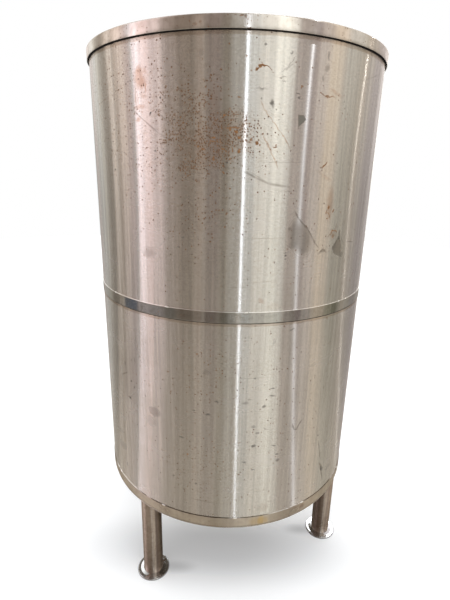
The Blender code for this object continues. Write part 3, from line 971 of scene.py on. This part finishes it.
LOWER_MARKS = {
    "rust": (
        (-22.3, 0.942, 0.005, 0.0014, 0.8), (-11.3, 1.018, 0.004, 0.0018, 0.9),
        (-14.9, 0.649, 0.0036, 0.0026, 1.0), (-26.2, 0.637, 0.0036, 0.0016, 0.6),
        (8.0, 0.712, 0.009, 0.0012, 0.6, 3), (15.3, 0.44, 0.02, 0.016, 0.12),
    ),
    "spots": (
        (-12.3, 0.8205, 0.0046, 0.0016, 0.9), (-8.8, 0.8205, 0.002, 0.0014, 0.9),
        (-7.1, 0.811, 0.0075, 0.0042, 0.8, 8), (-3.9, 0.859, 0.007, 0.0036, 0.7, -5),
        (-17.4, 0.711, 0.008, 0.0034, 0.6, -10), (-41.9, 0.855, 0.0048, 0.0034, 0.85, 8),
        (-40.1, 0.837, 0.004, 0.0042, 0.85, 20), (-43.2, 0.787, 0.0056, 0.0048, 0.85, 25),
        (-41.2, 0.935, 0.003, 0.007, 0.5), (-39.1, 0.943, 0.003, 0.008, 0.6, 10),
        (-45.9, 0.91, 0.005, 0.011, 0.35), (22.4, 1.0955, 0.0085, 0.0016, 0.8, 12),
        (13.4, 0.84, 0.0072, 0.005, 0.8, 15), (6.3, 0.856, 0.01, 0.004, 0.55, 5),
        (8.0, 0.869, 0.008, 0.0018, 0.5), (16.4, 0.902, 0.007, 0.0018, 0.7),
        (16.3, 0.876, 0.008, 0.0028, 0.7), (10.1, 0.696, 0.0076, 0.0044, 0.8, 5),
        (11.5, 0.744, 0.006, 0.004, 0.5), (9.8, 0.768, 0.0056, 0.006, 0.4, -20),
        (14.6, 0.757, 0.008, 0.002, 0.4, -25), (18.1, 0.687, 0.009, 0.0024, 0.6, -10),
        (19.7, 0.65, 0.007, 0.003, 0.6, -5), (20.2, 0.626, 0.0066, 0.005, 0.75, -5),
        (6.9, 0.634, 0.0055, 0.004, 0.55), (10.4, 0.603, 0.005, 0.0024, 0.6, -10),
        (9.6, 0.943, 0.0036, 0.002, 0.6, -15), (-21.1, 0.547, 0.0036, 0.003, 0.6, 10),
        (-16.4, 0.572, 0.004, 0.002, 0.6), (-11.7, 0.538, 0.003, 0.003, 0.7),
        (40.2, 0.667, 0.0036, 0.002, 0.6, -20), (45.0, 0.506, 0.007, 0.015, 0.7, 32),
    ),
    "smudges": (
        (-29.3, 0.779, 0.021, 0.015, 0.72, -3), (-31.0, 0.735, 0.018, 0.016, 0.4),
        (-42.5, 0.89, 0.048, 0.11, 0.3, -14), (-52.8, 0.547, 0.03, 0.015, 0.4, 10),
        (-53.5, 0.605, 0.03, 0.008, 0.25, 10), (-48.7, 0.48, 0.007, 0.007, 0.35),
        (50.8, 0.484, 0.017, 0.01, 0.4, 10), (-7.7, 0.96, 0.01, 0.009, 0.35, 5),
        (33.3, 0.957, 0.012, 0.005, 0.3, 12), (15.8, 1.06, 0.004, 0.012, 0.3),
    ),
    "scratch_lines": (
        (-48.4, 0.86, -44.6, 0.88, 0.0022, 0.75), (-31.6, 0.786, -29.0, 0.792, 0.0016, 0.5),
        (-29.0, 0.792, -26.8, 0.778, 0.0016, 0.5), (-31.4, 0.767, -28.5, 0.765, 0.0016, 0.5),
        (-28.5, 0.765, -26.8, 0.777, 0.0016, 0.4), (25.7, 0.753, 26.7, 0.734, 0.0022, 1.0),
        (26.7, 0.734, 27.8, 0.73, 0.0021, 1.0), (27.8, 0.73, 28.9, 0.748, 0.002, 1.0),
        (28.9, 0.748, 29.8, 0.757, 0.0026, 1.0), (41.0, 0.633, 42.2, 0.597, 0.0022, 0.75),
        (42.2, 0.597, 43.2, 0.56, 0.0026, 0.8), (43.2, 0.56, 44.0, 0.552, 0.0018, 0.6),
        (43.2, 0.537, 44.3, 0.522, 0.0028, 0.85), (44.3, 0.522, 45.2, 0.492, 0.0042, 0.9),
        (45.2, 0.492, 46.5, 0.457, 0.0034, 0.7), (12.0, 0.511, 15.8, 0.511, 0.001, 0.4),
        (-13.0, 0.472, -3.0, 0.466, 0.002, 0.3), (4.5, 0.823, 15.0, 0.824, 0.0008, 0.3),
        (1.0, 0.944, 17.0, 0.942, 0.0008, 0.3),
    ),
    "specks": (
        (-10.0, 0.6, 0.13, 0.12, 0.23), (-8.0, 0.96, 0.11, 0.12, 0.18), (0.0, 0.76, 0.4, 0.38, 0.07),
    ),
}
LID_SPOTS = (
    (47.3, 1.899, 0.0009, 0.015, 0.75), (1.3, 1.91, 0.007, 0.0016, 0.9), (2.2, 1.908, 0.0022, 0.004, 0.8),
    (-0.6, 1.9095, 0.003, 0.0014, 0.7), (-11.7, 1.893, 0.006, 0.0028, 0.45),
    (-10.2, 1.8975, 0.0026, 0.0022, 0.45), (-13.2, 1.899, 0.0018, 0.0018, 0.6),
    (-34.6, 1.903, 0.0024, 0.0018, 0.7), (-36.0, 1.898, 0.0016, 0.0016, 0.5),
    (3.4, 1.8848, 0.007, 0.0012, 0.9),
)
# Where highlights are painted on the bead along the pan.
LAP_HIGHLIGHTS = (
    (-51.0, 0.4, 0.1, 0.03, 1.0), (26.0, 0.4, 0.072, 0.03, 0.9), (-34.0, 0.4, 0.012, 0.03, 0.6),
    (4.0, 0.4, 0.02, 0.03, 0.35), (58.0, 0.4, 0.03, 0.03, 0.5),
)
# Painted shade on the pan: darker patches round it, and a dark strip along the knuckle underneath.
PAN_SHADES = (
    (-1.0, 0.387, 0.048, 0.03, 0.45), (26.0, 0.387, 0.056, 0.03, 0.55), (-25.0, 0.387, 0.018, 0.03, 0.25),
    (46.5, 0.387, 0.016, 0.03, 0.35), (0.0, 0.364, 2.0, 0.007, 0.9),
)
PAN_SPOTS = (
    (34.0, 0.39, 0.011, 0.009, 0.55), (31.0, 0.396, 0.016, 0.004, 0.25), (-4.0, 0.369, 0.05, 0.003, 0.3),
    (-58.0, 0.398, 0.006, 0.0016, 0.6), (20.0, 0.368, 0.04, 0.0026, 0.3),
)
PAN_FILM = (
    (11.6, 0.385, 0.013, 0.017, 0.45), (14.6, 0.386, 0.013, 0.019, 1.0), (16.8, 0.383, 0.008, 0.013, 0.6),
)

# How soft the edge of each kind of mark is, as a share of its size.
SOFTNESS = {
    "rust": 0.30, "spots": 0.5, "smudges": 0.55, "scratch": 0.8, "film": 0.6, "specks": 0.75,
    "veil": 0.6, "plain film": 0.6, "plain shades": 0.7, "plain spots": 0.55, "bead": 0.3,
}
VEIL_EDGE = 0.0016
FLAKE_EDGE = 0.0008

STEEL_TONE = (0.630, 0.602, 0.572)
RUST_TONE = (0.270, 0.125, 0.038)
BROWN_RUST_TONE = (0.170, 0.082, 0.036)
DARK_RUST_TONE = (0.075, 0.039, 0.021)
FLAKE_TONE = (0.120, 0.110, 0.088)
SPOT_TONE = (0.070, 0.060, 0.050)
SCRATCH_TONE = (0.22, 0.19, 0.16)
BEAD_SHADE_TONE = (0.110, 0.085, 0.062)
BEAD_HIGHLIGHT_TONE = (0.90, 0.89, 0.87)
GAP_SHADE_TONE = (0.012, 0.010, 0.009)
CLOUD_TINT = (0.94, 0.94, 0.93)
DIRT_TINT = (0.62, 0.58, 0.53)
STAIN_TINT = (1.0, 0.84, 0.52)
FILM_TINT = (0.70, 0.56, 0.47)
SMUDGE_AND_SHADE_TINT = (0.60, 0.585, 0.565)
SHADE_TINT = (0.80, 0.74, 0.68)
VEIL_TINT = (0.72, 0.68, 0.63)
MOTTLE_TINT = (0.78, 0.70, 0.62)

# Noise patterns: lumps to a metre along each axis, detail, roughness.
# Brushed sheet has a short grain round the tank, and the rolls left fine upright stripes in it.
SHEET_GRAIN = ((1 / 0.0090, 1 / 0.0042, 1.0), 1.0)
ROLL_STRIPES = ((1 / 0.0125, 1 / 0.55, 1.0), 3.0, 0.6)
SHELL_CLOUDS = ((5.0, 9.0, 1.0), 4.0)
SHELL_MOTTLES = ((60.0, 90.0, 1.0), 3.0)
SPECK_CLUMPS = ((22.0, 26.0, 1.0), 2.0)
SKIRT_SHADE = ((26.0, 0.0, 0.0), 3.0)
GAP_SHADE_RIPPLE = ((60.0, 0.0, 0.0), 3.0)
PLAIN_CLOUDS = ((14.0, 14.0, 20.0), 4.0)
PLAIN_MOTTLES = ((85.0, 85.0, 85.0), 3.0)
RUST_LUMPS = ((260.0, 260.0, 260.0), 2.0)
BEAD_LUMPS = ((70.0, 0.0, 0.0), 3.0)
STRIPE_DEPTH = 0.000012
# Painted shade below an overhanging edge: how far noise pushes its lower edge, and where below the edge it
# starts and becomes full.
SKIRT_SHADE_REACH = 0.008
SKIRT_SHADE_LOW = 0.009
SKIRT_SHADE_HIGH = 0.005
GAP_SHADE_REACH = -0.0022
GAP_SHADE_SOFTNESS = 0.0012

# How noise pushes the edges of marks about: size of its lumps and reach of its push.
SHELL_ROUGH = ((0.012, 0.0080), (0.0040, 0.0040))
PLAIN_ROUGH = ((0.012, 0.0060), (0.0040, 0.0035))
SHELL_FINE = (0.012, 0.0026)

# Specks: cell, least size and spread of sizes as shares of the cell, push of their edges.
FINE_SPECKS = (0.0070, 0.20, 0.20, (0.004, 0.0024))
SMALL_SPECKS = (0.0095, 0.13, 0.15, (0.004, 0.0026))
LARGE_SPECKS = (0.0210, 0.055, 0.08, (0.006, 0.0034))
PLAIN_SPECKS = (0.0078, 0.10, 0.16, (0.004, 0.0022))
SPECK_CORE = 0.62

# Two lobes of a brushed finish, each with its spread along the grain and across it, and the second's share.
SHEET_LOBES = ((0.0085, 0.30), (0.0085, 0.60), 0.4)
LID_LOBES = ((0.014, 0.12), (0.030, 0.45), 0.4)
STRIP_LOBES = ((0.012, 0.035), (0.030, 0.16), 0.2)
PAN_LOBES = ((0.030, 0.14), (0.060, 0.45), 0.4)
TUBE_LOBES = ((0.016, 0.26), (0.040, 0.70), 0.4)
WELD_LOBES = ((0.050, 0.060), (0.200, 0.220), 0.4)
TACK_LOBES = ((0.080, 0.090), (0.160, 0.170), 0.7)
FOOT_LOBES = ((0.008, 0.010), (0.080, 0.090), 0.2)
CRUST_ROUGHNESS = 0.85

PLAIN_STEELS = {
    "lid_steel": dict(tone=(0.60, 0.565, 0.53), lobes=LID_LOBES, density=0.14, cloud=0.16, spots=LID_SPOTS),
    "strip_steel": dict(tone=(0.56, 0.54, 0.50), lobes=STRIP_LOBES, density=0.04),
    "pan_steel": dict(
        tone=(0.50, 0.445, 0.385), lobes=PAN_LOBES, density=0.05,
        film=PAN_FILM, spots=PAN_SPOTS, shades=PAN_SHADES,
    ),
    "weld_steel": dict(tone=(0.80, 0.79, 0.77), lobes=WELD_LOBES, density=0.0, cloud=0.05),
    "tack_steel": dict(tone=(0.97, 0.96, 0.95), lobes=TACK_LOBES, density=0.0, cloud=0.02),
    "leg_tube_steel": dict(tone=(0.48, 0.405, 0.350), lobes=TUBE_LOBES, density=0.14, cloud=0.20),
    "foot_steel": dict(tone=(0.60, 0.615, 0.64), lobes=FOOT_LOBES, density=0.03, cloud=0.08),
    "fitting_steel": dict(tone=(0.52, 0.49, 0.45), lobes=TUBE_LOBES, density=0.05),
}


def tinted(colour, tint):
    return tuple(channel * share for channel, share in zip(colour, tint))


def round_the_axis(graph, direction):
    """How far a direction lies round from the front, as an angle, and its height."""
    split = graph.node("ShaderNodeSeparateXYZ", Vector=direction)
    back = graph.times(split.outputs["Y"], -1.0)
    return graph.maths("ARCTAN2", split.outputs["X"], back), split.outputs["Z"]


def shell_place(graph):
    """The place on the shell as (metres round from the front, height, 0)."""
    turn, height = round_the_axis(graph, graph.point())
    return graph.combine(graph.times(turn, SHELL_RADIUS), height, 0.0), height


def ragged(graph, place, *pushes):
    """The same place, pushed about by noise, so that what is drawn there has a ragged edge."""
    for size, reach in pushes:
        flat = {"noise_dimensions": "2D"}
        wander = graph.node("ShaderNodeTexNoise", flat, Vector=place, Scale=1 / size, Detail=3.0)
        centred = graph.vector("SUBTRACT", wander.outputs["Color"], (0.5, 0.5, 0.5))
        place = graph.vector("ADD", place, graph.vector("MULTIPLY", centred, (reach, reach, 0.0)))
    return place


def on_shell(azimuth, height):
    return math.radians(azimuth) * SHELL_RADIUS, height, 0.0


def mark(graph, place, row, softness):
    """A soft oval at its place on the shell."""
    azimuth, height, half_length, half_width, strength, tilt = (*row, 0)[:6]
    away = graph.vector("SUBTRACT", place, on_shell(azimuth, height))
    if tilt:
        right, up = math.cos(math.radians(tilt)), math.sin(math.radians(tilt))
        along = graph.vector("DOT_PRODUCT", away, (right / half_length, up / half_length, 0.0))
        across = graph.vector("DOT_PRODUCT", away, (-up / half_width, right / half_width, 0.0))
        local = graph.combine(along, across, 0.0)
    else:
        local = graph.vector("DIVIDE", away, (half_length, half_width, 1.0))
    return graph.step(graph.vector("LENGTH", local), 1 + softness, 1 - softness, 0.0, strength)


def line_mark(azimuth, height, end_azimuth, end_height, half_width, strength):
    """A scratch as a thin oval."""
    along = math.radians(end_azimuth - azimuth) * SHELL_RADIUS
    up = end_height - height
    half_length = math.hypot(along, up) / 2 + half_width
    middle = ((azimuth + end_azimuth) / 2, (height + end_height) / 2)
    return (*middle, half_length, half_width, strength, math.degrees(math.atan2(up, along)))


def strongest(graph, place, rows, softness):
    """The strongest of many marks at each place."""
    whole = 0.0
    for row in rows:
        whole = graph.larger(whole, mark(graph, place, row, softness))
    return whole


def patch(graph, place, corners, softness):
    """A many-sided flat patch without hollows. Its corners run anticlockwise, as seen from outside."""
    flat = [Vector(on_shell(*corner)) for corner in corners]
    whole = None
    for start, end in zip(flat, flat[1:] + flat[:1]):
        along = (end - start).normalized()
        inward = (-along.y, along.x, 0.0)
        inside = graph.vector("DOT_PRODUCT", graph.vector("SUBTRACT", place, tuple(start)), inward)
        whole = inside if whole is None else graph.maths("MINIMUM", whole, inside)
    return graph.step(whole, -softness, softness)


def veils(graph, place, rows):
    """Patches of dull film, crisp at some edges and fading at others."""
    whole = 0.0
    for oval, corners in rows:
        fading = mark(graph, place, oval, SOFTNESS["veil"])
        whole = graph.larger(whole, graph.times(fading, patch(graph, place, corners, VEIL_EDGE)))
    return whole


def specks(graph, place, sizes, density):
    """Small round specks, one at most in each cell, kept where the density allows."""
    cell, least, spread, push = sizes
    cells = graph.node(
        "ShaderNodeTexVoronoi", {"voronoi_dimensions": "2D", "feature": "F1"},
        Vector=ragged(graph, place, push), Scale=1 / cell, Randomness=1.0,
    )
    draw = graph.node("ShaderNodeSeparateColor", Color=cells.outputs["Color"])
    kept = graph.maths("LESS_THAN", draw.outputs[0], density)
    size = graph.maths("MULTIPLY_ADD", draw.outputs[1], spread, least)
    return graph.times(graph.step(cells.outputs["Distance"], size, graph.times(size, SPECK_CORE)), kept)


def material_graph(name):
    material = bpy.data.materials.new(name)
    material.use_nodes = True
    return material, Graph(material.node_tree)


def mirror(graph, colour, roughness, anisotropy, normal=None):
    """Brushed steel: its grain runs round the axis, so that it spreads light up and down."""
    shader = graph.node("ShaderNodeBsdfAnisotropic", {"distribution": "GGX"}, Roughness=roughness)
    graph.feed(shader.inputs["Color"], rgba(colour))
    shader.inputs["Anisotropy"].default_value = anisotropy
    grain = graph.node("ShaderNodeTangent", {"direction_type": "RADIAL", "axis": "Z"})
    graph.feed(shader.inputs["Tangent"], grain.outputs[0])
    graph.feed(shader.inputs["Normal"], normal)
    return shader.outputs[0]


def brushed(graph, colour, lobes, blur=None, normal=None):
    """A brushed finish: sharp along the grain and broad across it. Blur spreads both lobes."""
    *spreads, share = lobes
    shaders = []
    for along, over in spreads:
        roughness = (along * over) ** 0.25
        if blur is not None:
            roughness = graph.times(blur, roughness)
        shaders.append(mirror(graph, colour, roughness, 1 - math.sqrt(along / over), normal))
    return graph.mix(share, *shaders)


def finish_material(graph, surface, cover, crust_tone):
    """Lays a dull crust over the steel where the cover says. On the shell the same crust also carries a
    painted dark shade line.
    """
    crust = graph.node("ShaderNodeBsdfPrincipled", Roughness=CRUST_ROUGHNESS, Base_Color=rgba(crust_tone))
    crust.inputs["Specular IOR Level"].default_value = 0.2
    graph.node("ShaderNodeOutputMaterial", Surface=graph.mix(cover, surface, crust.outputs[0]))


def varied(graph, tone, pattern, least, most):
    """A tone, made darker and brighter by noise, whose values crowd round a half."""
    return graph.vector("SCALE", tone, graph.step(pattern, 0.25, 0.75, least, most))


def shell_steel(name, marks, top, gap_shade_height):
    """Brushed sheet with its own marks, specks and scratches, and painted shade at its top edge, under the
    piece that overhangs it.
    """
    material, graph = material_graph(name)
    place, height = shell_place(graph)
    rough_place = ragged(graph, place, *SHELL_ROUGH)
    fine_place = ragged(graph, place, SHELL_FINE)
    stripes = graph.noise(place, *ROLL_STRIPES)
    clouds = graph.noise(place, *SHELL_CLOUDS)
    mottles = graph.noise(place, *SHELL_MOTTLES)

    def mask(kind, where):
        lines = [line_mark(*line) for line in marks.get(f"{kind}_lines", ())]
        return strongest(graph, where, [*marks.get(kind, ()), *lines], SOFTNESS[kind])

    rust_mask = mask("rust", rough_place)
    spot_mask = mask("spots", rough_place)
    smudge_mask = mask("smudges", rough_place)
    scratch_mask = mask("scratch", fine_place)
    veil_mask = veils(graph, fine_place, marks.get("veils", ()))
    flake_mask = 0.0
    for corners in marks.get("flakes", ()):
        flake_mask = graph.larger(flake_mask, patch(graph, fine_place, corners, FLAKE_EDGE))
    clumps = graph.noise(place, *SPECK_CLUMPS)
    density = graph.times(mask("specks", place), graph.step(clumps, 0.38, 0.62, 0.55, 1.30))
    fine = specks(graph, place, FINE_SPECKS, graph.step(density, 0.28, 0.75, 0.0, 0.90))
    small = specks(graph, place, SMALL_SPECKS, density)
    large = specks(graph, place, LARGE_SPECKS, density)
    speck_mask = graph.larger(graph.larger(small, large), fine)

    def tint(tone, share, shade):
        return graph.blend(share, tone, tinted(STEEL_TONE, shade))

    tone = graph.blend(graph.step(clouds, 0.3, 0.75), tinted(STEEL_TONE, CLOUD_TINT), STEEL_TONE)
    dirt = graph.times(graph.step(mottles, 0.42, 0.70), graph.step(density, 0.0, 0.6, 0.12, 0.55))
    tone = tint(tone, dirt, MOTTLE_TINT)
    if "film" in marks:
        tone = tint(tone, mask("film", rough_place), FILM_TINT)
    tone = tint(tone, veil_mask, VEIL_TINT)
    tone = tint(tone, smudge_mask, SMUDGE_AND_SHADE_TINT)
    tone = graph.blend(graph.times(scratch_mask, 0.75), tone, SCRATCH_TONE)
    # Painted shade: a darker strip just below the skirt or band that overhangs the top edge.
    edge = graph.maths("MULTIPLY_ADD", graph.noise(place, *SKIRT_SHADE), SKIRT_SHADE_REACH, height)
    tone = tint(tone, graph.step(edge, top - SKIRT_SHADE_LOW, top - SKIRT_SHADE_HIGH), SHADE_TINT)
    tone = varied(graph, tone, stripes, 0.89, 1.09)
    tone = varied(graph, tone, graph.noise(place, *SHEET_GRAIN), 0.94, 1.05)
    blur = graph.maths("MULTIPLY_ADD", smudge_mask, 0.30, 1.0)
    blur = graph.maths("ADD", blur, graph.step(clouds, 0.3, 0.8, -0.04, 0.06))
    blur = graph.maths("ADD", blur, graph.times(veil_mask, 1.6))
    bump = graph.node("ShaderNodeBump", Strength=1.0, Distance=STRIPE_DEPTH, Height=stripes)
    surface = brushed(graph, tone, SHEET_LOBES, blur, bump.outputs[0])

    patchy = graph.noise(place, *RUST_LUMPS)
    crust_tone = graph.blend(graph.step(patchy, 0.44, 0.72), BROWN_RUST_TONE, RUST_TONE)
    speck_tone = graph.blend(graph.step(patchy, 0.40, 0.60), DARK_RUST_TONE, BROWN_RUST_TONE)
    clear = graph.maths("SUBTRACT", 1.0, graph.step(rust_mask, 0.05, 0.25))
    crust_tone = graph.blend(graph.times(graph.step(speck_mask, 0.0, 0.2), clear), crust_tone, speck_tone)
    crust_tone = graph.blend(graph.step(spot_mask, 0.0, 0.15), crust_tone, SPOT_TONE)
    crust_tone = graph.blend(flake_mask, crust_tone, FLAKE_TONE)
    cover = rust_mask
    for layer, strength in ((spot_mask, 0.85), (speck_mask, 0.92), (flake_mask, 0.85)):
        cover = graph.larger(cover, graph.times(layer, strength))
    # Painted shade: a near-black line along the top edge, where the shell lies in shadow under the
    # overhanging skirt or band.
    level = graph.maths("MULTIPLY_ADD", graph.noise(place, *GAP_SHADE_RIPPLE), GAP_SHADE_REACH, gap_shade_height)
    gap_shade = graph.step(height, level, graph.maths("ADD", level, GAP_SHADE_SOFTNESS))
    crust_tone = graph.blend(gap_shade, crust_tone, GAP_SHADE_TONE)
    finish_material(graph, surface, graph.larger(cover, gap_shade), crust_tone)
    return material


def plain_steel(name, tone, lobes, density, cloud=0.12, film=(), spots=(), shades=()):
    """Steel of the strips, legs and fittings, with clouds of dirt, a few specks, marks of its own, and
    painted shade where shade rows are given.
    """
    material, graph = material_graph(name)
    place = shell_place(graph)[0]
    point = graph.point()
    clouds = graph.noise(point, *PLAIN_CLOUDS)
    mottles = graph.noise(point, *PLAIN_MOTTLES)
    dirty = tinted(tone, DIRT_TINT)
    colour = graph.blend(graph.step(clouds, 0.40, 0.75, 0.0, cloud * 3), tone, dirty)
    colour = graph.blend(graph.step(mottles, 0.42, 0.75, 0.0, cloud * 2.5), colour, dirty)
    rough_place = ragged(graph, place, *PLAIN_ROUGH)
    # Stains from the film rows, and painted shade from the shade rows.
    for rows, softness, tint in ((film, "plain film", STAIN_TINT), (shades, "plain shades", SMUDGE_AND_SHADE_TINT)):
        if rows:
            share = strongest(graph, rough_place, rows, SOFTNESS[softness])
            colour = graph.blend(share, colour, tinted(tone, tint))
    colour = varied(graph, colour, graph.noise(place, *ROLL_STRIPES), 0.92, 1.07)
    surface = brushed(graph, colour, lobes, graph.step(clouds, 0.3, 0.8, 0.92, 1.12))
    cover = graph.times(specks(graph, place, PLAIN_SPECKS, density), 0.8)
    if spots:
        cover = graph.larger(cover, strongest(graph, rough_place, spots, SOFTNESS["plain spots"]))
    patchy = graph.noise(point, *RUST_LUMPS)
    crust_tone = graph.blend(graph.step(patchy, 0.40, 0.60), DARK_RUST_TONE, BROWN_RUST_TONE)
    finish_material(graph, surface, cover, crust_tone)
    return material


def lap_steel(name):
    """The bead along the pan: painted shade for most of the way, with painted highlights and glints where it
    catches the light.
    """
    material, graph = material_graph(name)
    place = shell_place(graph)[0]
    lumps = graph.noise(place, *BEAD_LUMPS)
    # Painted highlights where the bead catches the light, and painted glints along it, over a painted shade
    # tone.
    painted_highlight = graph.times(strongest(graph, place, LAP_HIGHLIGHTS, SOFTNESS["bead"]), graph.step(lumps, 0.30, 0.48))
    glints = graph.step(lumps, 0.66, 0.72, 0.0, 0.8)
    tone = graph.blend(graph.larger(painted_highlight, glints), BEAD_SHADE_TONE, BEAD_HIGHLIGHT_TONE)
    cover = graph.step(lumps, 0.40, 0.28, 0.0, 0.5)
    finish_material(graph, brushed(graph, tone, WELD_LOBES), cover, DARK_RUST_TONE)
    return material


# Camera


def make_camera():
    camera = bpy.data.objects.new("camera", bpy.data.cameras.new("camera"))
    bpy.context.scene.collection.objects.link(camera)
    camera.data.lens = CAMERA_LENS
    camera.data.sensor_width = CAMERA_SENSOR
    forward = Vector((
        math.sin(CAMERA_YAW) * math.cos(CAMERA_PITCH),
        math.cos(CAMERA_YAW) * math.cos(CAMERA_PITCH),
        -math.sin(CAMERA_PITCH),
    ))
    level = Vector((math.cos(CAMERA_YAW), -math.sin(CAMERA_YAW), 0.0))
    upright = level.cross(forward)
    right = math.cos(CAMERA_ROLL) * level + math.sin(CAMERA_ROLL) * upright
    up = -math.sin(CAMERA_ROLL) * level + math.cos(CAMERA_ROLL) * upright
    turn = Matrix((right, up, -forward)).transposed().to_4x4()
    camera.matrix_world = Matrix.Translation(CAMERA_PLACE) @ turn
    bpy.context.scene.camera = camera


# Painted shade: how far below the overhanging edge the near-black line starts.
UPPER_GAP_SHADE = 0.002
LOWER_GAP_SHADE = 0.0024


def main():
    bpy.context.scene.view_settings.view_transform = "Standard"
    make_camera()
    build_world()
    hang_lamps()
    make_floor()
    make_under_shade()

    upper = shell_steel("upper_shell_steel", UPPER_MARKS, LID_LOW.z, LID_LOW.z - UPPER_GAP_SHADE)
    lower = shell_steel("lower_shell_steel", LOWER_MARKS, BAND_LOW.z, BAND_LOW.z - LOWER_GAP_SHADE)
    lid, strip, pan, weld, tacked, leg, foot, fitting = (
        plain_steel(name, **look) for name, look in PLAIN_STEELS.items()
    )
    make_course("upper", UPPER_LOW.z, UPPER_HIGH.z, 1.0, upper)
    make_course("lower", LOWER_LOW.z, LOWER_HIGH.z, 2.0, lower)
    make_seam("upper_seam", UPPER_SEAM_AZIMUTH, BAND_HIGH.z, LID_LOW.z, weld)
    make_seam("lower_seam", LOWER_SEAM_AZIMUTH, PAN_HIGH.z, BAND_LOW.z, weld)
    make_lid(lid)
    make_mid_band(strip)
    make_bottom_pan(pan)
    make_bead("mid_band_weld", BAND_HIGH.z, BAND_BEAD, weld)
    make_bead("bottom_pan_weld", PAN_HIGH.z, LAP_BEAD, lap_steel("lap_weld_steel"))
    make_tacks(tacked)
    for name in LEGS:
        make_leg(name, leg, weld)
        make_foot(name, foot)
    make_drain(fitting)


main()
